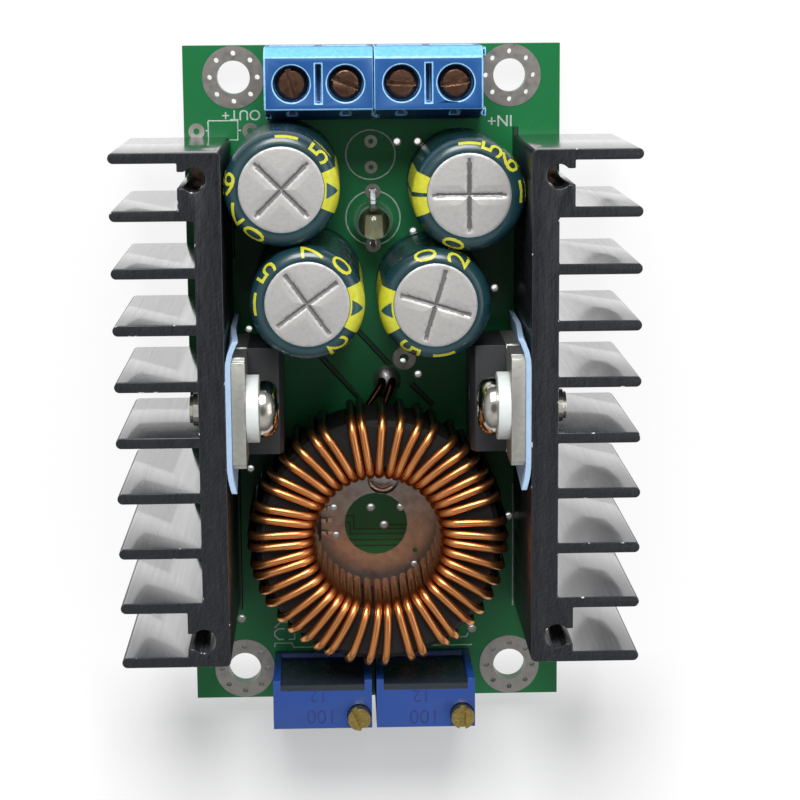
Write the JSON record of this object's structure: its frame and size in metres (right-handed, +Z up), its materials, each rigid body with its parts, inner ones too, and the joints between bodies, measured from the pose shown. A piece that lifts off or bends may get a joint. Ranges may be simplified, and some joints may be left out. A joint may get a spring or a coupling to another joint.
{
  "type": "buck converter module",
  "caption": "Step-down power converter board with screw terminals, electrolytic capacitors, toroidal inductor, trimmers and power devices clamped to black finned heatsinks.",
  "frame": {"origin": "middle of the board, on the plane of the heatsink pin tips that it rests on", "axes": "+Z up out of the component side, +Y towards the screw terminals, +X along the board width"},
  "size_m": [0.0474, 0.0652, 0.0239],
  "materials": {
    "solder_mask": "glass-fibre board under glossy green solder mask",
    "tinned_copper": "tinned copper",
    "solder": "bright solder",
    "terminal_plastic": "moulded blue nylon",
    "brass_contact": "tinned brass strip",
    "clamp_screw_metal": "passivated steel, brownish",
    "cage_steel": "plated steel",
    "capacitor_can": "drawn aluminium",
    "capacitor_sleeve": "shrunk dark teal sleeve with yellow print",
    "capacitor_rubber": "moulded rubber",
    "black_anodised": "black anodised extrusion",
    "copper_pin": "plated pin",
    "device_tab": "tinned copper tab",
    "black_epoxy": "moulded epoxy",
    "silicone_pad": "light blue silicone",
    "white_nylon": "white nylon",
    "nickel_screw": "nickel-plated steel",
    "powder_core": "dark coated powder core",
    "enamelled_copper": "enamelled copper wire",
    "trimmer_plastic": "moulded blue plastic",
    "trimmer_brass": "turned brass",
    "trimmer_seal": "dark sealing epoxy",
    "clear_lens": "clear epoxy lens",
    "resistor_body": "coated alumina",
    "capacitor_ceramic": "tan ceramic"
  },
  "bodies": {
    "module": {"board": "solder_mask", "mounting_rings": "tinned_copper", "solder_joints": "solder", "terminal_housing_left": "terminal_plastic", "terminal_housing_right": "terminal_plastic", "terminal_contacts": "brass_contact", "capacitor_can_1": "capacitor_can", "capacitor_can_2": "capacitor_can", "capacitor_can_3": "capacitor_can", "capacitor_can_4": "capacitor_can", "capacitor_sleeve_1": "capacitor_sleeve", "capacitor_sleeve_2": "capacitor_sleeve", "capacitor_sleeve_3": "capacitor_sleeve", "capacitor_sleeve_4": "capacitor_sleeve", "capacitor_bungs": "capacitor_rubber", "capacitor_leads": "tinned_copper", "heatsink_left": "black_anodised", "heatsink_right": "black_anodised", "heatsink_pins": "copper_pin", "device_tab_left": "device_tab", "device_tab_right": "device_tab", "device_case_left": "black_epoxy", "device_case_right": "black_epoxy", "device_leads": "device_tab", "thermal_pad_left": "silicone_pad", "thermal_pad_right": "silicone_pad", "insulating_bush_left": "white_nylon", "insulating_bush_right": "white_nylon", "heatsink_screw_left": "nickel_screw", "heatsink_screw_right": "nickel_screw", "inductor_core": "powder_core", "winding_strand_a": "enamelled_copper", "winding_strand_b": "enamelled_copper", "trimmer_housing_left": "trimmer_plastic", "trimmer_housing_right": "trimmer_plastic", "trimmer_seals": "trimmer_seal", "trimmer_pins": "brass_contact", "indicator_lens": "clear_lens", "indicator_legs": "tinned_copper", "control_chips": "black_epoxy", "chip_legs": "tinned_copper", "chip_resistors": "resistor_body", "chip_resistor_ends": "solder", "chip_capacitors": "capacitor_ceramic", "chip_capacitor_ends": "solder"},
    "clamp_screw_1": {"clamp_screw_1": "clamp_screw_metal"},
    "wire_cage_1": {"wire_cage_1": "cage_steel"},
    "clamp_screw_2": {"clamp_screw_2": "clamp_screw_metal"},
    "wire_cage_2": {"wire_cage_2": "cage_steel"},
    "clamp_screw_3": {"clamp_screw_3": "clamp_screw_metal"},
    "wire_cage_3": {"wire_cage_3": "cage_steel"},
    "clamp_screw_4": {"clamp_screw_4": "clamp_screw_metal"},
    "wire_cage_4": {"wire_cage_4": "cage_steel"},
    "trimmer_screw_left": {"trimmer_screw_left": "trimmer_brass"},
    "trimmer_screw_right": {"trimmer_screw_right": "trimmer_brass"}
  },
  "joints": [
    {"name": "clamp_turn_1", "type": "hinge", "parent": "module", "child": "clamp_screw_1", "pos_m": [-0.0076, 0.02927, 0.011], "axis": [0, 0, 1], "range_deg": [-1370, 0]},
    {"name": "cage_rise_1", "type": "slide", "parent": "module", "child": "wire_cage_1", "axis": [0, 0, 1], "range_m": [0, 0.0019]},
    {"name": "clamp_turn_2", "type": "hinge", "parent": "module", "child": "clamp_screw_2", "pos_m": [-0.0026, 0.02927, 0.011], "axis": [0, 0, 1], "range_deg": [-1370, 0]},
    {"name": "cage_rise_2", "type": "slide", "parent": "module", "child": "wire_cage_2", "axis": [0, 0, 1], "range_m": [0, 0.0019]},
    {"name": "clamp_turn_3", "type": "hinge", "parent": "module", "child": "clamp_screw_3", "pos_m": [0.0026, 0.02927, 0.011], "axis": [0, 0, 1], "range_deg": [-1370, 0]},
    {"name": "cage_rise_3", "type": "slide", "parent": "module", "child": "wire_cage_3", "axis": [0, 0, 1], "range_m": [0, 0.0019]},
    {"name": "clamp_turn_4", "type": "hinge", "parent": "module", "child": "clamp_screw_4", "pos_m": [0.0076, 0.02927, 0.011], "axis": [0, 0, 1], "range_deg": [-1370, 0]},
    {"name": "cage_rise_4", "type": "slide", "parent": "module", "child": "wire_cage_4", "axis": [0, 0, 1], "range_m": [0, 0.0019]},
    {"name": "trimmer_turn_left", "type": "hinge", "parent": "module", "child": "trimmer_screw_left", "pos_m": [-0.00198, -0.03135, 0.0134], "axis": [0, 0, 1], "continuous": true},
    {"name": "trimmer_turn_right", "type": "hinge", "parent": "module", "child": "trimmer_screw_right", "pos_m": [0.008, -0.03135, 0.0134], "axis": [0, 0, 1], "continuous": true}
  ],
  "couplings": [
    {"joint": "clamp_turn_1", "follows": "cage_rise_1", "rad_per_m": -12566},
    {"joint": "clamp_turn_2", "follows": "cage_rise_2", "rad_per_m": -12566},
    {"joint": "clamp_turn_3", "follows": "cage_rise_3", "rad_per_m": -12566},
    {"joint": "clamp_turn_4", "follows": "cage_rise_4", "rad_per_m": -12566}
  ]
}
